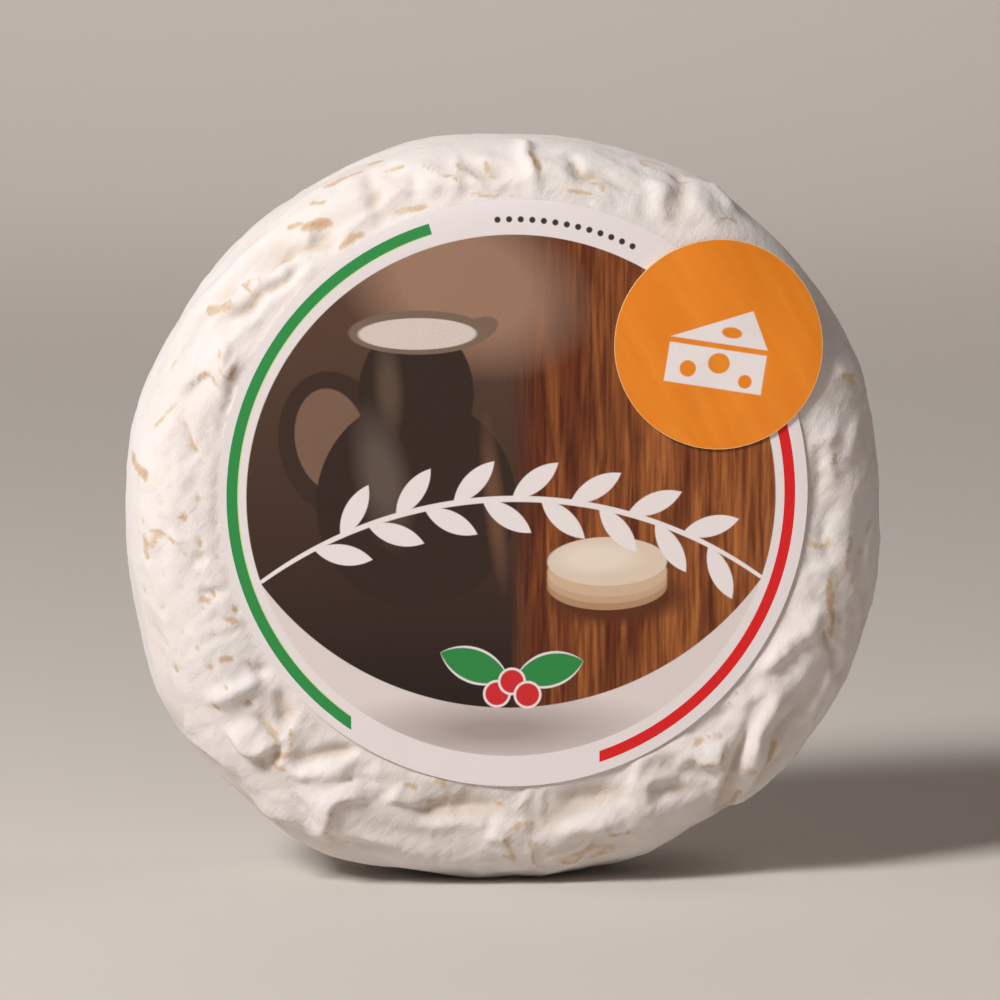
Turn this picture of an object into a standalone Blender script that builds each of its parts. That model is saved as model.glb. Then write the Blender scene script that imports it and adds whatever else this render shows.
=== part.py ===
"""A whole camembert wheel standing on its edge, with a round paper label and a smaller round sticker.

The wheel's axis lies along Y and the labelled face looks towards -Y. +Z is up, and the wheel rests
on a small flat at z = 0, under the middle of the whole.
"""

import math

import bmesh
import bpy
import numpy as np
from mathutils import Matrix, Vector, noise

MM = 0.001

# The wheel: its round outline, its thickness, and where its axis passes.
WHEEL_RADIUS = 56.4 * MM
HALF_THICKNESS = 17.0 * MM
AXIS = Vector((-0.45, 0.43, 54.3)) * MM

# The rounded rim, from the flat of one face to the flat of the other, is a superellipse.
RIM_REACH = 14.0 * MM
RIM_POWER = 2.6

# How far the outline stands out or in, in mm, every 15 degrees from +X round over the top. It fades
# towards the axis with this power of the radius.
OUTLINE_STANDS_OUT = (
    0.4, 0.75, 0.3, 0.7, 1.05, 0.05, -0.25, 0.2, -0.4, -0.85, -0.7, 0.0,
    -0.45, -0.45, 0.95, 0.6, 1.2, -1.5, -1.55, -1.4, -0.6, 1.35, 1.1, 1.35,
)
OUTLINE_POWER = 3

# The turned mesh: steps round the axis, and the spacing of its rings.
STEPS_ROUND = 120
FACE_RING_RADII = (12.0 * MM, 23.0 * MM, 31.0 * MM)
FINE_FROM_RADIUS = 36.5 * MM
FINE_SPACING = 2.1 * MM
BACK_SPACING = 4.2 * MM
PROFILE_SAMPLES = 400
ON_AXIS = 0.05 * MM
SHARP_FROM = math.radians(50)

# The paper label and the sticker: radius, place on the face from the axis, thickness, and gap.
LABEL_RADIUS = 43.15 * MM
LABEL_RIGHT = 0.85 * MM
LABEL_UP = 4.55 * MM
LABEL_STEPS = 84
LABEL_RINGS = (0.35, 0.7, 0.88, 0.95, 1.0)
STICKER_RADIUS = 15.35 * MM
STICKER_RIGHT = 30.8 * MM
STICKER_UP = 26.35 * MM
STICKER_STEPS = 56
STICKER_RINGS = (0.3, 0.55, 0.8, 1.0)
PAPER = 0.3 * MM
GAP = 0.3 * MM

# The sticker lies flat on the label, then bends back over the rim on this radius.
STICKER_BENDS_FROM = 45.0 * MM
STICKER_BEND_RADIUS = 26.0 * MM

# Under the sticker's outer half the rim is fuller: a swelling round this arc of the rim.
BED_RADIUS = 53.5 * MM
BED_FROM = math.radians(24)
BED_TO = math.radians(57)
BED_WIDTH = 5.0 * MM
BED_HEIGHT = 1.2 * MM

# Relief of the rind: broad swellings, and wrinkles with rounded crests that are longer round the
# wheel than across it. They are calmer on the rim, and fade out at the middle of each face.
SWELL_SIZE = 15.0 * MM
SWELL_HEIGHT = 0.55 * MM
SWELL_START = Vector((3.1, 7.7, 1.9))
WRINKLE_SIZE = 8.0 * MM
WRINKLE_HEIGHT = 1.6 * MM
WRINKLE_STRETCH = 1.9
WRINKLE_START = Vector((0.6, 4.2, 8.5))
WARP = 3.0 * MM
WARP_START = Vector((9.4, 2.3, 5.8))
NOISE_SEED = 8
CREST_LEVEL = 0.2
ROUND_CREST = 0.05
RIM_CALM = 0.5
RIM_CALM_FROM = 52.0 * MM
MIDDLE_FADE = 11.0 * MM

# How strongly the rind is wrinkled, every 30 degrees from +X round over the top.
WRINKLED_ROUND = (1.0, 0.5, 0.6, 0.8, 0.9, 0.9, 0.5, 0.7, 0.9, 0.8, 1.0, 1.1)

# Relief starts at the paper's edge and is full this far outside it.
RELIEF_FADE = 3.0 * MM

# The folds are drawn on a flat sheet held square to this line of sight, and dropped along it on to
# the rind. The sheet's middle is on the axis.
SIGHT_TURN = math.radians(-4.5)
SIGHT_RISE = math.radians(7.0)
SIGHT_DISTANCE = 800.0 * MM
DROP_ROUNDS = 12
DROP_PACE = 0.7
RIM_MARGIN = 0.3 * MM

# A fold climbs from its ends over this share of its run. A flap's plate is this many half widths wide.
FOLD_ENDS = 0.3
PLATE_REACH = 4.0
LINE_STEPS = 4


def ridge(width, height, *places):
    """A raised fold with a round top."""
    return ("ridge", width * MM, height * MM, places)


def valley(width, depth, *places):
    """A soft trough."""
    return ("ridge", width * MM, -depth * MM, places)


def flap(width, height, *places):
    """A plate of rind that stands up on the left of the line and drops at the line."""
    return ("flap", width * MM, height * MM, places)


# Half width and height in mm, then the places (right, up) on the sheet in mm.
FOLDS = (
    # upper left: two long troughs along the label's edge, a fold between them, and a hollow above
    valley(1.2, 1.0, (-41.0, 29.4), (-36.8, 32.1), (-33.7, 34.0), (-29.1, 36.7)),
    valley(1.8, 1.0, (-36.4, 34.8), (-31.8, 38.6), (-28.0, 40.5), (-24.2, 40.1)),
    ridge(1.5, 0.7, (-38.0, 34.0), (-34.0, 36.4), (-30.8, 37.4)),
    valley(1.3, 0.8, (-19.8, 51.0), (-18.5, 47.3), (-17.7, 42.4)),
    # left: scalloped plates by the label, a fold outside them, and two short troughs below
    flap(1.1, 0.7, (-44.4, 25.9), (-42.5, 24.1), (-41.9, 21.5), (-40.2, 20.3), (-38.7, 24.9)),
    flap(1.1, 0.7, (-47.4, 17.0), (-45.5, 19.7), (-43.4, 20.5), (-41.7, 17.1)),
    ridge(1.6, 0.6, (-51.5, 8.0), (-49.5, 11.5), (-46.4, 13.6)),
    valley(1.1, 0.6, (-47.4, -7.7), (-43.4, -6.5)),
    valley(1.1, 0.6, (-45.8, -12.7), (-40.0, -12.0)),
    # top: the narrow seam left by the mould, the wavy crease beside it, and a hollow
    ridge(1.2, 1.0, (3.1, 56.2), (4.2, 52.5), (5.7, 46.4)),
    valley(1.2, 0.7, (6.9, 52.4), (10.6, 53.0), (12.1, 50.1), (15.1, 50.1), (21.0, 47.2)),
    valley(1.3, 0.7, (-6.5, 52.8), (-2.0, 50.8), (2.0, 51.4)),
    # upper right: folds that run outwards
    ridge(1.5, 0.9, (23.3, 49.0), (23.8, 45.5), (24.0, 41.9)),
    valley(1.5, 0.9, (26.2, 50.0), (27.0, 46.0), (27.4, 43.5)),
    ridge(1.5, 0.7, (30.4, 48.6), (32.4, 45.4), (34.0, 42.6)),
    valley(1.3, 0.7, (33.4, 47.4), (36.2, 43.9), (38.0, 41.4)),
    # right: the long lip on the rim, a fold inside it, and a trough below
    ridge(1.1, 0.5, (53.4, 20.0), (53.3, 17.9), (52.8, 13.8), (52.1, 9.7), (52.1, 4.9)),
    ridge(1.2, 0.6, (49.6, 14.4), (48.8, 9.0), (49.6, 3.4)),
    valley(1.1, 0.7, (50.6, 2.4), (48.4, -2.6), (48.8, -8.0)),
    # right, lower: a bump, and creases that part the plates
    ridge(2.2, 1.0, (48.2, -13.6), (46.6, -15.8), (44.4, -17.6)),
    valley(1.1, 0.8, (47.8, -15.8), (48.2, -18.8), (49.0, -21.1), (49.5, -23.6)),
    valley(1.1, 0.8, (52.6, -19.8), (49.2, -24.8), (46.9, -30.2), (44.5, -34.8)),
    # lower right: the long smooth fold, its shadowed trough, and the broken plate
    ridge(1.6, 1.8, (42.9, -24.0), (40.2, -28.3), (37.8, -33.4), (35.9, -39.4)),
    valley(1.3, 1.4, (38.9, -26.6), (37.3, -31.3), (35.0, -36.7), (33.8, -41.4), (33.4, -45.9)),
    valley(1.1, 0.8, (45.6, -24.0), (43.2, -29.5), (41.0, -33.6), (38.4, -37.8)),
    ridge(1.2, 0.9, (49.6, -22.4), (47.0, -27.6), (44.2, -32.4)),
    ridge(1.1, 1.0, (47.9, -16.0), (44.0, -18.8), (40.0, -22.3), (37.8, -25.2)),
    ridge(1.1, 0.8, (32.2, -36.2), (33.0, -39.5), (32.0, -44.2)),
    flap(1.1, 1.2, (26.4, -39.4), (28.7, -37.1), (30.3, -37.9), (32.2, -37.1), (33.0, -32.6)),
    valley(1.4, 0.9, (22.0, -43.6), (26.4, -42.0), (30.0, -42.8)),
    ridge(1.2, 0.7, (19.6, -41.6), (23.8, -40.2), (27.6, -40.6)),
    # bottom: low folds that run across
    ridge(1.8, 0.8, (-1.6, -47.0), (2.0, -47.9), (5.5, -48.2)),
    valley(1.3, 0.9, (-14.8, -45.6), (-10.0, -45.2), (-4.3, -44.9), (0.5, -45.4)),
    valley(1.8, 0.9, (8.0, -44.5), (14.0, -42.8), (20.5, -44.4)),
    ridge(1.2, 0.7, (8.0, -48.6), (13.0, -47.8), (18.5, -47.0)),
    # lower left: plates with steep edges, and the troughs and folds between them
    ridge(1.3, 1.1, (-43.9, -28.1), (-39.8, -27.4), (-34.3, -24.8)),
    valley(1.2, 1.0, (-36.8, -24.9), (-35.4, -23.6), (-33.6, -22.5)),
    valley(1.1, 0.9, (-32.4, -26.2), (-31.2, -29.7), (-31.6, -32.3)),
    flap(1.1, 1.4, (-41.0, -31.4), (-39.0, -33.8), (-36.3, -36.2), (-33.1, -34.9), (-31.6, -33.8)),
    valley(1.1, 1.1, (-36.9, -37.8), (-34.7, -37.0), (-32.8, -36.4), (-31.4, -37.0)),
    valley(1.3, 1.2, (-31.4, -36.4), (-26.9, -36.7), (-22.2, -35.2), (-19.6, -34.2)),
    ridge(1.1, 1.2, (-31.8, -37.9), (-27.7, -38.8), (-23.0, -37.7), (-19.6, -36.2)),
    flap(1.1, 1.3, (-25.2, -49.8), (-24.6, -46.1), (-24.2, -43.4), (-22.4, -42.5), (-17.2, -42.7)),
    flap(1.1, 0.8, (-17.6, -42.6), (-16.0, -43.8), (-12.1, -44.4), (-11.4, -46.0)),
    flap(1.1, 0.8, (-45.4, -28.4), (-45.6, -32.6), (-43.3, -34.8), (-41.0, -36.7), (-39.3, -39.9)),
    flap(1.1, 0.7, (-36.2, -43.2), (-31.6, -44.9), (-28.9, -46.3)),
)

COLOURS = {
    "cheese": ((0.86, 0.80, 0.74), 0.9),
    "label": ((0.78, 0.74, 0.75), 0.6),
    "sticker": ((0.78, 0.23, 0.02), 0.55),
}


def clear_scene():
    for thing in list(bpy.data.objects):
        bpy.data.objects.remove(thing, do_unlink=True)


def plain_material(name):
    colour, roughness = COLOURS[name]
    material = bpy.data.materials.new(name)
    material.use_nodes = True
    shader = material.node_tree.nodes["Principled BSDF"]
    shader.inputs["Base Color"].default_value = (*colour, 1.0)
    shader.inputs["Roughness"].default_value = roughness
    shader.inputs["Metallic"].default_value = 0.0
    return material


def rise(value, start, end):
    """0 below start, 1 above end, and a smooth climb between."""
    t = np.clip((value - start) / (end - start), 0.0, 1.0)
    return t * t * (3.0 - 2.0 * t)


def face_depth(radius):
    """How far the smooth rind lies from the mid-plane at this radius, on either face."""
    out = np.clip((radius - (WHEEL_RADIUS - RIM_REACH)) / RIM_REACH, 0.0, 1.0)
    return HALF_THICKNESS * (1.0 - out**RIM_POWER) ** (1.0 / RIM_POWER)


def rim_profile():
    """Evenly spaced points (radius, towards the label) from the label's face to the back."""
    turn = np.linspace(0.0, math.pi / 2, PROFILE_SAMPLES)
    power = 2.0 / RIM_POWER
    radius = WHEEL_RADIUS - RIM_REACH + RIM_REACH * np.sin(turn) ** power
    depth = HALF_THICKNESS * np.cos(turn) ** power
    radius = np.concatenate([[FINE_FROM_RADIUS], radius, radius[-2::-1], [FINE_FROM_RADIUS]])
    depth = np.concatenate([[HALF_THICKNESS], depth, -depth[-2::-1], [-HALF_THICKNESS]])
    run = np.concatenate([[0.0], np.cumsum(np.hypot(np.diff(radius), np.diff(depth)))])
    stops = np.linspace(0.0, run[-1], 1 + round(run[-1] / FINE_SPACING))
    return list(zip(np.interp(stops, run, radius), np.interp(stops, run, depth)))


def wheel_profile():
    """The whole profile, from the middle of the label's face round to the middle of the back."""
    front = [(0.0, HALF_THICKNESS)] + [(r, HALF_THICKNESS) for r in FACE_RING_RADII]
    back_rings = round(FINE_FROM_RADIUS / BACK_SPACING)
    back = [
        (FINE_FROM_RADIUS * (1 - i / back_rings), -HALF_THICKNESS) for i in range(1, back_rings + 1)
    ]
    return front + rim_profile() + back


def turned(name, profile, steps):
    """A mesh turned about Z from (radius, height) points that start and end on the axis."""
    mesh = bpy.data.meshes.new(name + "_profile")
    points = [(radius, 0.0, height) for radius, height in profile]
    mesh.from_pydata(points, [(i, i + 1) for i in range(len(points) - 1)], [])
    holder = bpy.data.objects.new(name + "_profile", mesh)
    bpy.context.scene.collection.objects.link(holder)
    screw = holder.modifiers.new("Screw", "SCREW")
    screw.steps = steps
    screw.render_steps = steps
    screw.use_merge_vertices = True
    screw.merge_threshold = ON_AXIS
    graph = bpy.context.evaluated_depsgraph_get()
    result = bpy.data.meshes.new_from_object(holder.evaluated_get(graph))
    result.name = name
    bpy.data.objects.remove(holder, do_unlink=True)
    return result


def coordinates(mesh):
    points = np.empty(len(mesh.vertices) * 3)
    mesh.vertices.foreach_get("co", points)
    return points.reshape(-1, 3)


def set_coordinates(mesh, points):
    mesh.vertices.foreach_set("co", points.astype(np.float32).ravel())
    mesh.update()


def outline_offset(angle):
    """How far the outline stands out at these angles, on a smooth closed curve."""
    knots = np.array(OUTLINE_STANDS_OUT) * MM
    place = (angle / (2 * math.pi) * len(knots)) % len(knots)
    first = np.floor(place).astype(int)
    t = place - first
    p0, p1, p2, p3 = (knots[(first + k) % len(knots)] for k in (-1, 0, 1, 2))
    rough = 2 * p1 + (p2 - p0) * t + (2 * p0 - 5 * p1 + 4 * p2 - p3) * t**2
    return 0.5 * (rough + (3 * p1 - p0 - 3 * p2 + p3) * t**3)


def rind_normals(points):
    """Outward directions of the smooth wheel, whose axis is Y and whose middle is the origin."""
    radius = np.hypot(points[:, 0], points[:, 2])
    out = np.clip((radius - (WHEEL_RADIUS - RIM_REACH)) / RIM_REACH, 0.0, 1.0)
    along = np.clip(np.abs(points[:, 1]) / HALF_THICKNESS, 0.0, 1.0)
    outward = out ** (RIM_POWER - 1) / RIM_REACH
    facing = np.sign(points[:, 1]) * along ** (RIM_POWER - 1) / HALF_THICKNESS
    safe = np.maximum(radius, ON_AXIS)
    normals = np.stack([outward * points[:, 0] / safe, facing, outward * points[:, 2] / safe], 1)
    return normals / np.linalg.norm(normals, axis=1, keepdims=True)


def sight_axes():
    """Right, up and towards the eye, for the sheet that the folds are drawn on."""
    turn, climb = SIGHT_TURN, SIGHT_RISE
    right = np.array([math.cos(turn), math.sin(turn), 0.0])
    eye = [math.sin(turn) * math.cos(climb), -math.cos(turn) * math.cos(climb), math.sin(climb)]
    eye = np.array(eye)
    return right, np.cross(eye, right), eye


def on_rind(place):
    """The point of the labelled side's smooth rind that lies behind this place on the sheet."""
    right, up, eye = sight_axes()
    towards = HALF_THICKNESS
    for _ in range(DROP_ROUNDS):
        flat = (place[0] * right + place[1] * up) * MM * (1 - towards / SIGHT_DISTANCE)
        point = flat + towards * eye
        radius = min(math.hypot(point[0], point[2]), WHEEL_RADIUS - RIM_MARGIN)
        towards += DROP_PACE * (face_depth(radius) + point[1])
    return point


def smooth_line(places):
    """Points on the rind along a smooth curve through the places."""
    knots = np.array([on_rind(place) for place in places])
    knots = np.vstack([2 * knots[0] - knots[1], knots, 2 * knots[-1] - knots[-2]])
    line = []
    for i in range(1, len(knots) - 2):
        p0, p1, p2, p3 = knots[i - 1 : i + 3]
        for t in np.linspace(0.0, 1.0, LINE_STEPS + 1)[:-1]:
            bend = (2 * p0 - 5 * p1 + 4 * p2 - p3) * t**2 + (3 * p1 - p0 - 3 * p2 + p3) * t**3
            line.append(0.5 * (2 * p1 + (p2 - p0) * t + bend))
    line.append(knots[-2])
    return np.array(line)


def beside_line(points, line):
    """For each point: distance from the line, signed distance to its left, and share of its run."""
    best = np.full(len(points), np.inf)
    left = np.zeros(len(points))
    share = np.zeros(len(points))
    run = np.concatenate([[0.0], np.cumsum(np.linalg.norm(np.diff(line, axis=0), axis=1))])
    for i in range(len(line) - 1):
        step = line[i + 1] - line[i]
        length = np.linalg.norm(step)
        t = np.clip((points - line[i]) @ step / length**2, 0.0, 1.0)
        away = points - (line[i] + t[:, None] * step)
        distance = np.linalg.norm(away, axis=1)
        outward = rind_normals(line[i : i + 1])[0]
        side = away @ np.cross(outward, step / length)
        nearer = distance < best
        best[nearer] = distance[nearer]
        left[nearer] = side[nearer]
        share[nearer] = (run[i] + t[nearer] * length) / run[-1]
    return best, left, share


def fold_relief(points):
    """The height that all the drawn folds add at each point."""
    height = np.zeros(len(points))
    for kind, width, rises, places in FOLDS:
        distance, left, share = beside_line(points, smooth_line(places))
        ends = rise(share, 0.0, FOLD_ENDS) * rise(1.0 - share, 0.0, FOLD_ENDS)
        if kind == "ridge":
            height += rises * ends * np.exp(-((distance / width) ** 2))
        else:
            plate = np.exp(-((distance / (PLATE_REACH * width)) ** 2))
            height += rises * ends * plate * rise(left, -width, width)
    return height


def bed_relief(points):
    """The fuller rim under the outer half of the sticker."""
    angle = np.arctan2(points[:, 2], points[:, 0])
    beyond = np.maximum(np.maximum(BED_FROM - angle, angle - BED_TO), 0.0) * BED_RADIUS
    away = np.hypot(np.hypot(points[:, 0], points[:, 2]) - BED_RADIUS, beyond)
    return np.where(points[:, 1] < 0, BED_HEIGHT * np.exp(-((away / BED_WIDTH) ** 2)), 0.0)


def wrinkle_relief(points):
    """Broad swellings, and wrinkles drawn out round the wheel, over the whole rind."""
    radius = np.hypot(points[:, 0], points[:, 2])
    across = points[:, 1] + np.sign(points[:, 1]) * (WHEEL_RADIUS - radius)
    drawn_out = [points[:, 0] / WRINKLE_STRETCH, across, points[:, 2] / WRINKLE_STRETCH]
    noise.seed_set(NOISE_SEED)
    swell = np.zeros(len(points))
    fold = np.zeros(len(points))
    for i, (point, stretched) in enumerate(zip(points, np.stack(drawn_out, 1))):
        place = Vector(point)
        swell[i] = noise.noise(place / SWELL_SIZE + SWELL_START)
        bent = Vector(stretched) + WARP * noise.noise_vector(place / WRINKLE_SIZE + WARP_START)
        fold[i] = noise.noise(bent / WRINKLE_SIZE + WRINKLE_START)
    turn = np.arctan2(points[:, 2], points[:, 0]) / (2 * math.pi) * len(WRINKLED_ROUND)
    strong = np.interp(turn, range(len(WRINKLED_ROUND)), WRINKLED_ROUND, period=len(WRINKLED_ROUND))
    calm = rise(radius, 0.0, MIDDLE_FADE) * (1.0 - RIM_CALM * rise(radius, RIM_CALM_FROM, WHEEL_RADIUS))
    crests = CREST_LEVEL - np.sqrt(fold**2 + ROUND_CREST**2)
    return SWELL_HEIGHT * swell + WRINKLE_HEIGHT * crests * calm * strong


def clear_of_paper(points):
    """0 under the label and sticker, and 1 well away from them."""
    on_label = np.hypot(points[:, 0] - LABEL_RIGHT, points[:, 2] - LABEL_UP) - LABEL_RADIUS
    on_sticker = np.hypot(points[:, 0] - STICKER_RIGHT, points[:, 2] - STICKER_UP) - STICKER_RADIUS
    outside = np.minimum(on_label, on_sticker)
    return np.where(points[:, 1] < 0, rise(outside, 0.0, RELIEF_FADE), 1.0)


def shape_wheel(mesh):
    """Bends the turned wheel to its outline and raises the relief of its rind."""
    points = coordinates(mesh)
    normals = rind_normals(points)
    height = (fold_relief(points) + wrinkle_relief(points)) * clear_of_paper(points)
    height += bed_relief(points)
    angle = np.arctan2(points[:, 2], points[:, 0])
    radius = np.hypot(points[:, 0], points[:, 2])
    grow = outline_offset(angle) * (radius / WHEEL_RADIUS) ** OUTLINE_POWER
    outward = np.stack([np.cos(angle), np.zeros(len(points)), np.sin(angle)], 1)
    set_coordinates(mesh, points + normals * height[:, None] + outward * grow[:, None])


def cut_flat(mesh):
    """Cuts the wheel level at z = 0 and closes the cut with one flat face."""
    work = bmesh.new()
    work.from_mesh(mesh)
    cut = bmesh.ops.bisect_plane(
        work,
        geom=list(work.verts) + list(work.edges) + list(work.faces),
        plane_co=(0.0, 0.0, 0.0),
        plane_no=(0.0, 0.0, 1.0),
        clear_inner=True,
    )
    edges = [part for part in cut["geom_cut"] if isinstance(part, bmesh.types.BMEdge)]
    bmesh.ops.edgenet_fill(work, edges=edges)
    bmesh.ops.recalc_face_normals(work, faces=work.faces)
    work.to_mesh(mesh)
    work.free()


def add_node(name, mesh, collection):
    mesh.materials.clear()
    mesh.materials.append(plain_material(name))
    mesh.shade_smooth()
    mesh.set_sharp_from_angle(angle=SHARP_FROM)
    node = bpy.data.objects.new(name, mesh)
    collection.objects.link(node)
    return node


def make_cheese(collection):
    mesh = turned("cheese", wheel_profile(), STEPS_ROUND)
    mesh.transform(Matrix.Rotation(math.pi / 2, 4, "X"))
    shape_wheel(mesh)
    mesh.transform(Matrix.Translation(AXIS))
    cut_flat(mesh)
    return add_node("cheese", mesh, collection)


def paper_disc(name, radius, steps, ring_shares):
    """A thin disc with rings that let it bend, lying in the XZ plane about the origin."""
    top = [(radius * share, PAPER / 2) for share in ring_shares]
    profile = [(0.0, PAPER / 2)] + top + [(r, -h) for r, h in reversed(top)] + [(0.0, -PAPER / 2)]
    mesh = turned(name, profile, steps)
    mesh.transform(Matrix.Rotation(math.pi / 2, 4, "X"))
    return mesh


def lay_on_face(mesh, right, up, drop):
    """Moves a disc to its place on the labelled face and lets it drop back by drop(points)."""
    mesh.transform(Matrix.Translation((right, 0.0, up)))
    points = coordinates(mesh)
    points[:, 1] += drop(points)
    set_coordinates(mesh, points)
    mesh.transform(Matrix.Translation(AXIS))


def label_drop(points):
    """The label's mid-plane, just off the face, which follows the start of the rim."""
    radius = np.hypot(points[:, 0], points[:, 2])
    return -(face_depth(radius) + GAP + PAPER / 2)


def sticker_drop(points):
    """The sticker's mid-plane: flat on the label, then curved back over the rim."""
    towards_rim = Vector((STICKER_RIGHT, STICKER_UP)).normalized()
    run = points[:, 0] * towards_rim.x + points[:, 2] * towards_rim.y
    over = np.maximum(run - STICKER_BENDS_FROM, 0.0)
    back = over**2 / (2 * STICKER_BEND_RADIUS)
    return back - (HALF_THICKNESS + GAP + PAPER + GAP + PAPER / 2)


def make_label(collection):
    mesh = paper_disc("label", LABEL_RADIUS, LABEL_STEPS, LABEL_RINGS)
    lay_on_face(mesh, LABEL_RIGHT, LABEL_UP, label_drop)
    return add_node("label", mesh, collection)


def make_sticker(collection):
    mesh = paper_disc("sticker", STICKER_RADIUS, STICKER_STEPS, STICKER_RINGS)
    lay_on_face(mesh, STICKER_RIGHT, STICKER_UP, sticker_drop)
    return add_node("sticker", mesh, collection)


clear_scene()
camembert = bpy.data.collections.new("camembert")
bpy.context.scene.collection.children.link(camembert)
make_cheese(camembert)
make_label(camembert)
make_sticker(camembert)
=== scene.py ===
import math
import random

import bpy
import numpy as np
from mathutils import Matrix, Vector, noise


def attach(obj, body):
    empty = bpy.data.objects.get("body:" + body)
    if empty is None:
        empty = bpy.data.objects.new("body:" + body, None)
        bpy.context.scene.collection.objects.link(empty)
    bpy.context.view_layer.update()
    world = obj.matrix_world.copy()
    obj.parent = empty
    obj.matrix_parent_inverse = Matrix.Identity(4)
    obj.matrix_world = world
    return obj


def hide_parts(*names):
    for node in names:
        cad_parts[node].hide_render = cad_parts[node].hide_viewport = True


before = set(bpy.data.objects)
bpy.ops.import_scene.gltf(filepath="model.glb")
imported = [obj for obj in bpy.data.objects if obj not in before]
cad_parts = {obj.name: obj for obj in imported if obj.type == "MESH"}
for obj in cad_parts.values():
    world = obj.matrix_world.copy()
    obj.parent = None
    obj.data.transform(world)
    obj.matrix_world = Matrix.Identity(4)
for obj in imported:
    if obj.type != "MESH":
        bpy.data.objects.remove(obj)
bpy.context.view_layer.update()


# The rind. A bloomy white mould skin grown over a drained curd that was turned in a round mould.
# The skin is thin and velvety, and it has wrinkled and slumped on the soft cheese, so the wheel is
# one solid whose surface carries every fold, plate and hollow.
MM = 0.001
WHEEL_RADIUS = 56.4 * MM
HALF_THICKNESS = 17.0 * MM
AXIS = Vector((-0.45, 0.43, 54.3)) * MM
RIM_REACH = 14.0 * MM
RIM_POWER = 2.6
OUTLINE_STANDS_OUT = (  # mm, every 15 degrees from +X round over the top
    0.35, 0.75, 0.3, 0.7, 1.05, 0.1, -0.2, 0.2, -0.35, -0.85, -0.7, -0.25,
    -0.7, -0.5, 0.95, 0.6, 1.2, -1.5, -1.55, -1.4, -0.6, 1.35, 1.1, 1.35,
)
LABEL_RADIUS, LABEL_RIGHT, LABEL_UP = 43.15 * MM, 0.85 * MM, 4.55 * MM
STICKER_RADIUS, STICKER_RIGHT, STICKER_UP = 15.35 * MM, 30.8 * MM, 26.35 * MM
BED_RADIUS, BED_WIDTH, BED_HEIGHT = 53.5 * MM, 5.0 * MM, 1.2 * MM
BED_FROM, BED_TO = math.radians(24), math.radians(57)
OUTLINE_FADE_POWER = 3  # the outline's bulges fade towards the middle by this power of the radius
SWELL_SIZE, SWELL_HEIGHT = 15.0 * MM, 0.55 * MM
WRINKLE_SIZE, WRINKLE_HEIGHT, WARP = 8.0 * MM, 1.7 * MM, 3.0 * MM
CRUMPLE_SIZE, CRUMPLE_HEIGHT = 3.6 * MM, 0.6 * MM
PUCKER_SIZE, PUCKER_HEIGHT = 1.7 * MM, 0.2 * MM
ROUND_CREST, CREST_LEVEL = 0.035, 0.2
STRETCH = 1.9
RIM_CALM, RIM_CALM_FROM = 0.5, 52 * MM
CRUMPLED_LEAST, CRUMPLED_FROM, CRUMPLED_TO = 0.35, -0.15, 0.25
LINE_TAN, LINE_SLOPE, LINED_FROM, LINED_TO = 0.6, 1.25, 0.27, 0.5
SWELL_AT, BEND_AT = Vector((3.1, 7.7, 1.9)), Vector((9.4, 2.3, 5.8))
WRINKLE_AT, CRUMPLE_AT = Vector((0.6, 4.2, 8.5)), Vector((5.2, 1.4, 2.7))
PUCKER_AT, PATCH_AT = Vector((2.8, 6.1, 0.7)), Vector((7.0, 0.4, 3.3))
DRAWN_WARP_SIZE, DRAWN_WARP = 4.0 * MM, 0.7 * MM
NOISE_SEED = 8
WRINKLED_ROUND = (  # how strongly the skin is wrinkled, every 30 degrees from +X round over the top
    1.0, 0.5, 0.6, 0.8, 0.9, 0.9, 0.5, 0.7, 0.9, 0.8, 1.0, 1.1,
)
PAPER_TUCK, RELIEF_FADE, MIDDLE_FADE = 0.5 * MM, 1.7 * MM, 11.0 * MM
TAN_SLOPE, TAN_LEAST, TAN_SHARE, TAN_CLEAR = 1.0 * MM, 0.15 * MM, 0.3, 0.4
HOLLOW_FROM, HOLLOW_TO = 0.1 * MM, 1.3 * MM
MARK_REACH, END_FADE, FLAP_EDGE, FLAP_SPREAD = 5, 0.3, 0.6, 4
LINE_STEPS, SIGHT_STEPS, SIGHT_STEP_SHARE = 4, 12, 0.7
SIGHT_TURN, SIGHT_RISE, SIGHT_DISTANCE = math.radians(-4.5), math.radians(7.0), 800.0 * MM


def ridge(width, height, tan, *places):
    return ("ridge", width * MM, height * MM, tan, places)


def valley(width, depth, tan, *places):
    return ("ridge", width * MM, -depth * MM, tan, places)


def flap(width, height, tan, *places):
    return ("flap", width * MM, height * MM, tan, places)


def rubbed(width, tan, *places):
    return ("rubbed", width * MM, 0.0, tan, places)


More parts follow.
